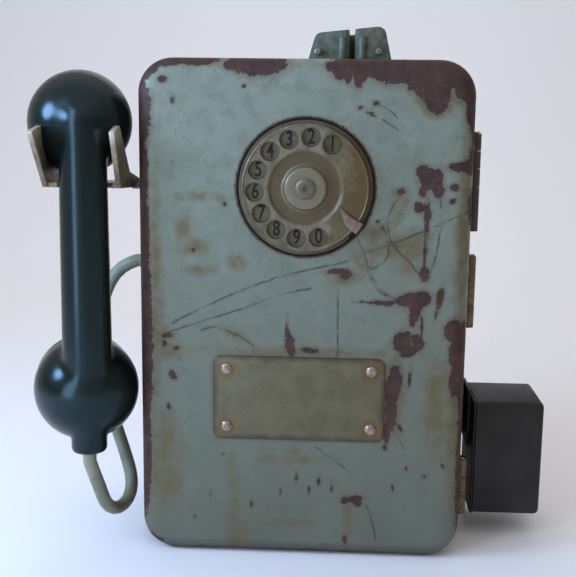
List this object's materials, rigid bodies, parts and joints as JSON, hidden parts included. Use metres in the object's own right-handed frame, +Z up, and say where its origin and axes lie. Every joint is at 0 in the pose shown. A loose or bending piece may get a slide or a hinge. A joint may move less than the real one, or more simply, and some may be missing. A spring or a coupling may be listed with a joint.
{
  "type": "payphone",
  "caption": "Metal payphone with a rotary dial, a hinged front, a coin slot on top, a handset in a sprung fork cradle and a small side box.",
  "frame": {"origin": "centre of the flat underside of the rear case, where the payphone stands on the table", "axes": "+Z up, +X to the right seen from the front, -Y out of the front towards the user"},
  "size_m": [0.3269, 0.1659, 0.3293],
  "materials": {
    "case_paint": "worn grey-green enamel",
    "door_paint": "worn grey-green enamel, chipped to a red-brown primer",
    "dark_paint": "matte dark brown enamel",
    "steel": "plain steel",
    "zinc": "zinc plated sheet",
    "fork_steel": "tarnished and lightly rusted steel",
    "bare_hinge": "paint worn off",
    "iron": "blackened iron",
    "brass": "aged brass",
    "pewter": "aged grey-olive die casting",
    "winding": "lacquered wire on a spool",
    "bakelite": "polished black-green phenolic",
    "black_plastic": "moulded cover",
    "brown_plastic": "brown phenolic",
    "cord_rubber": "grey-green sheath"
  },
  "bodies": {
    "casing": {"rear_case": "case_paint", "upper_hinge_case_leaf": "case_paint", "upper_hinge_pin": "steel", "middle_hinge_case_leaf": "bare_hinge", "middle_hinge_pin": "steel", "lower_hinge_case_leaf": "case_paint", "lower_hinge_pin": "steel", "coin_entry_plate": "case_paint", "coin_entry_block": "case_paint", "coin_channel": "zinc", "gate_pin": "steel", "coin_magnet_yoke": "iron", "coin_magnet_coil": "winding", "chassis_plate": "zinc", "transformer_core": "iron", "transformer_coil": "winding", "condenser": "zinc", "relay": "black_plastic", "terminal_strip": "brown_plastic", "cash_box": "zinc", "lever_shelf": "zinc", "lever_pin": "steel", "lever_spring": "steel", "hook_switch": "brown_plastic", "cord_bushing": "cord_rubber", "handset_cord": "cord_rubber", "side_box_base": "dark_paint", "side_box_cover": "dark_paint", "box_bracket": "iron", "lock_barrel": "steel", "lock_cam": "steel"},
    "door": {"front_door": "door_paint", "upper_hinge_door_leaf": "door_paint", "middle_hinge_door_leaf": "door_paint", "lower_hinge_door_leaf": "door_paint", "nameplate": "pewter", "door_catch": "zinc", "number_plate": "pewter", "finger_stop": "steel", "dial_base": "zinc", "dial_bridge": "brass", "governor_cup": "brass", "dial_spring": "steel", "pulse_contacts": "brown_plastic"},
    "dial": {"finger_wheel": "pewter", "centre_screw": "pewter", "dial_shaft": "steel", "main_gear": "brass"},
    "pulse_spindle": {"pinion_spindle": "steel", "second_gear": "brass"},
    "governor": {"governor_spindle": "steel", "governor_arm": "brass"},
    "hook": {"hook_lever": "fork_steel"},
    "handset": {"handset_shell": "bakelite", "ear_cap": "bakelite", "mouth_cap": "bakelite", "receiver_capsule": "zinc", "microphone_capsule": "zinc"},
    "gate": {"coin_gate": "zinc"}
  },
  "joints": [
    {"name": "door_hinge", "type": "hinge", "parent": "casing", "child": "door", "pos_m": [0.1043, -0.04815, 0.16], "axis": [0, 0, 1], "range_deg": [0, 95]},
    {"name": "dial_turn", "type": "hinge", "parent": "door", "child": "dial", "pos_m": [0.001, -0.0841, 0.2323], "axis": [0, 1, 0], "range_deg": [0, 303], "stiffness_Nm_per_rad": 0.02, "springref_deg": -34.38},
    {"name": "pulse_turn", "type": "hinge", "parent": "door", "child": "pulse_spindle", "pos_m": [-0.02194, -0.0841, 0.21624], "axis": [0, 1, 0], "range_deg": [-1215, 0]},
    {"name": "governor_turn", "type": "hinge", "parent": "door", "child": "governor", "pos_m": [-0.00817, -0.0841, 0.2066], "axis": [0, 1, 0], "range_deg": [0, 3645]},
    {"name": "handset_lift", "type": "slide", "parent": "casing", "child": "handset", "axis": [0, 0, 1], "range_m": [0, 0.06]},
    {"name": "hook_swing", "type": "hinge", "parent": "casing", "child": "hook", "pos_m": [-0.06, -0.0341, 0.2291], "axis": [0, 1, 0], "range_deg": [0, 6], "stiffness_Nm_per_rad": 0.5, "springref_deg": 17.19, "deforming": ["lever_spring"]},
    {"name": "gate_swing", "type": "hinge", "parent": "casing", "child": "gate", "pos_m": [0.036, -0.0198, 0.1962], "axis": [0, -1, 0], "range_deg": [0, 11], "stiffness_Nm_per_rad": 0.004, "springref_deg": -17.19}
  ],
  "couplings": [
    {"joint": "pulse_turn", "follows": "dial_turn", "ratio": -4},
    {"joint": "governor_turn", "follows": "dial_turn", "ratio": 12},
    {"joint": "hook_swing", "follows": "handset_lift", "rad_per_m": 1.745}
  ]
}
